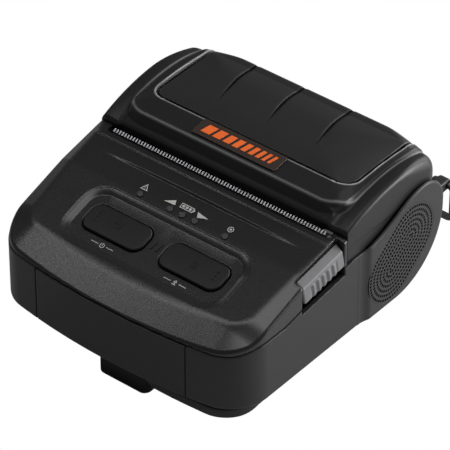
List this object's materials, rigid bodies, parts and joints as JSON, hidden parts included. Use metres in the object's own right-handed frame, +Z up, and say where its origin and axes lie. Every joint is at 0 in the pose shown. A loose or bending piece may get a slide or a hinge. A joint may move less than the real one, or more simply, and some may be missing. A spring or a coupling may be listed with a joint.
{
  "type": "mobile receipt printer",
  "caption": "Portable receipt printer with a hinged roll cover, sloped key panel, toothed tear bar, side release button, slide-out battery and belt clip.",
  "frame": {"origin": "middle of the bounding box, on the flat underside of the belt clip that the printer stands on", "axes": "+X to the right, +Y from the key panel back to the roll cover, +Z up"},
  "size_m": [0.1226, 0.1376, 0.0719],
  "materials": {
    "side_plastic": "fine-grained charcoal moulding",
    "top_plastic": "fine-grained black moulding",
    "cover_plastic": "satin black moulding",
    "window_plastic": "semi-gloss smoked moulding",
    "key_plastic": "satin black keys",
    "grey_plastic": "satin grey moulding",
    "lamp_plastic": "unlit smoked lens",
    "base_plastic": "coarse black moulding",
    "label_orange": "printed orange plate",
    "steel": "bright steel",
    "dark_steel": "blackened steel",
    "rubber": "ground black rubber",
    "board_green": "lacquered circuit board",
    "inner_plastic": "dark grey inner moulding",
    "ivory_plastic": "ivory moulding"
  },
  "bodies": {
    "case": {"lower_case": "side_plastic", "upper_case": "top_plastic", "base_plate": "base_plastic", "belt_clip": "base_plastic", "clip_screw_1": "steel", "clip_screw_2": "steel", "base_screw_1": "steel", "base_screw_2": "steel", "base_screw_3": "steel", "base_screw_4": "steel", "power_switch": "inner_plastic", "feed_switch": "inner_plastic", "key_board": "board_green", "led_error": "lamp_plastic", "led_battery_1": "lamp_plastic", "led_battery_2": "lamp_plastic", "led_battery_3": "lamp_plastic", "led_status": "lamp_plastic", "tear_bar": "steel", "slot_block": "grey_plastic", "print_chassis": "dark_steel", "print_head": "ivory_plastic", "head_holder": "steel", "head_spring": "steel", "stepper_motor": "steel", "idler_axle": "steel", "paper_bucket": "inner_plastic", "paper_sensor": "top_plastic", "hinge_pin_right": "steel", "hinge_pin_left": "steel", "battery_terminal": "inner_plastic", "main_board": "board_green", "board_screw_1": "steel", "board_screw_2": "steel", "dc_jack": "inner_plastic", "usb_socket": "steel", "socket_board": "board_green"},
    "cover": {"cover_shell": "cover_plastic", "cover_window": "window_plastic", "label_plate": "label_orange", "cover_frame": "inner_plastic", "platen_bush_right": "ivory_plastic", "platen_bush_left": "ivory_plastic"},
    "platen": {"platen_shaft": "steel", "platen_rubber": "rubber", "platen_gear": "ivory_plastic"},
    "idler": {"idler_gear": "ivory_plastic"},
    "pinion": {"motor_pinion": "steel"},
    "latch": {"latch_shaft": "steel", "latch_hook_right": "dark_steel", "latch_hook_left": "dark_steel"},
    "release": {"release_button": "grey_plastic"},
    "power_key": {"power_button": "key_plastic"},
    "feed_key": {"feed_button": "key_plastic"},
    "battery": {"battery_pack": "side_plastic"},
    "battery_lock": {"battery_latch": "grey_plastic"},
    "port_flap": {"port_cover": "rubber"},
    "ring_right": {"strap_ring_right": "dark_steel"},
    "ring_left": {"strap_ring_left": "dark_steel"}
  },
  "joints": [
    {"name": "cover_hinge", "type": "hinge", "parent": "case", "child": "cover", "pos_m": [0, 0.05325, 0.0495], "axis": [-1, 0, 0], "range_deg": [0, 70]},
    {"name": "platen_spin", "type": "hinge", "parent": "cover", "child": "platen", "pos_m": [0, 0.00405, 0.054], "axis": [1, 0, 0], "continuous": true},
    {"name": "idler_spin", "type": "hinge", "parent": "case", "child": "idler", "pos_m": [0, -0.00608, 0.04507], "axis": [1, 0, 0], "continuous": true},
    {"name": "pinion_spin", "type": "hinge", "parent": "case", "child": "pinion", "pos_m": [0, -0.01645, 0.04671], "axis": [1, 0, 0], "continuous": true},
    {"name": "release_press", "type": "slide", "parent": "case", "child": "release", "axis": [0, 0, -1], "range_m": [0, 0.0018], "stiffness_N_per_m": 400, "springref_m": -0.001},
    {"name": "latch_turn", "type": "hinge", "parent": "case", "child": "latch", "pos_m": [0, -0.00175, 0.0449], "axis": [1, 0, 0], "range_deg": [0, 15.5]},
    {"name": "power_press", "type": "slide", "parent": "case", "child": "power_key", "axis": [0, 0.2873, -0.9578], "range_m": [0, 0.0005], "stiffness_N_per_m": 600, "springref_m": -0.0005},
    {"name": "feed_press", "type": "slide", "parent": "case", "child": "feed_key", "axis": [0, 0.2873, -0.9578], "range_m": [0, 0.0005], "stiffness_N_per_m": 600, "springref_m": -0.0005},
    {"name": "battery_slide", "type": "slide", "parent": "case", "child": "battery", "axis": [0, -1, 0], "range_m": [0, 0.06]},
    {"name": "battery_lock_slide", "type": "slide", "parent": "case", "child": "battery_lock", "axis": [0, 1, 0], "range_m": [0, 0.003], "stiffness_N_per_m": 300, "springref_m": -0.001},
    {"name": "port_flap_hinge", "type": "hinge", "parent": "case", "child": "port_flap", "pos_m": [-0.0587, -0.04845, 0], "axis": [0, 0, 1], "range_deg": [0, 110]},
    {"name": "ring_right_swing", "type": "hinge", "parent": "case", "child": "ring_right", "pos_m": [0, 0.06645, 0.0456], "axis": [1, 0, 0], "range_deg": [-20, 75]},
    {"name": "ring_left_swing", "type": "hinge", "parent": "case", "child": "ring_left", "pos_m": [0, 0.06645, 0.0456], "axis": [1, 0, 0], "range_deg": [-20, 75]}
  ],
  "couplings": [
    {"joint": "idler_spin", "follows": "platen_spin", "ratio": -0.8},
    {"joint": "pinion_spin", "follows": "platen_spin", "ratio": 2},
    {"joint": "latch_turn", "follows": "release_press", "rad_per_m": 150}
  ]
}
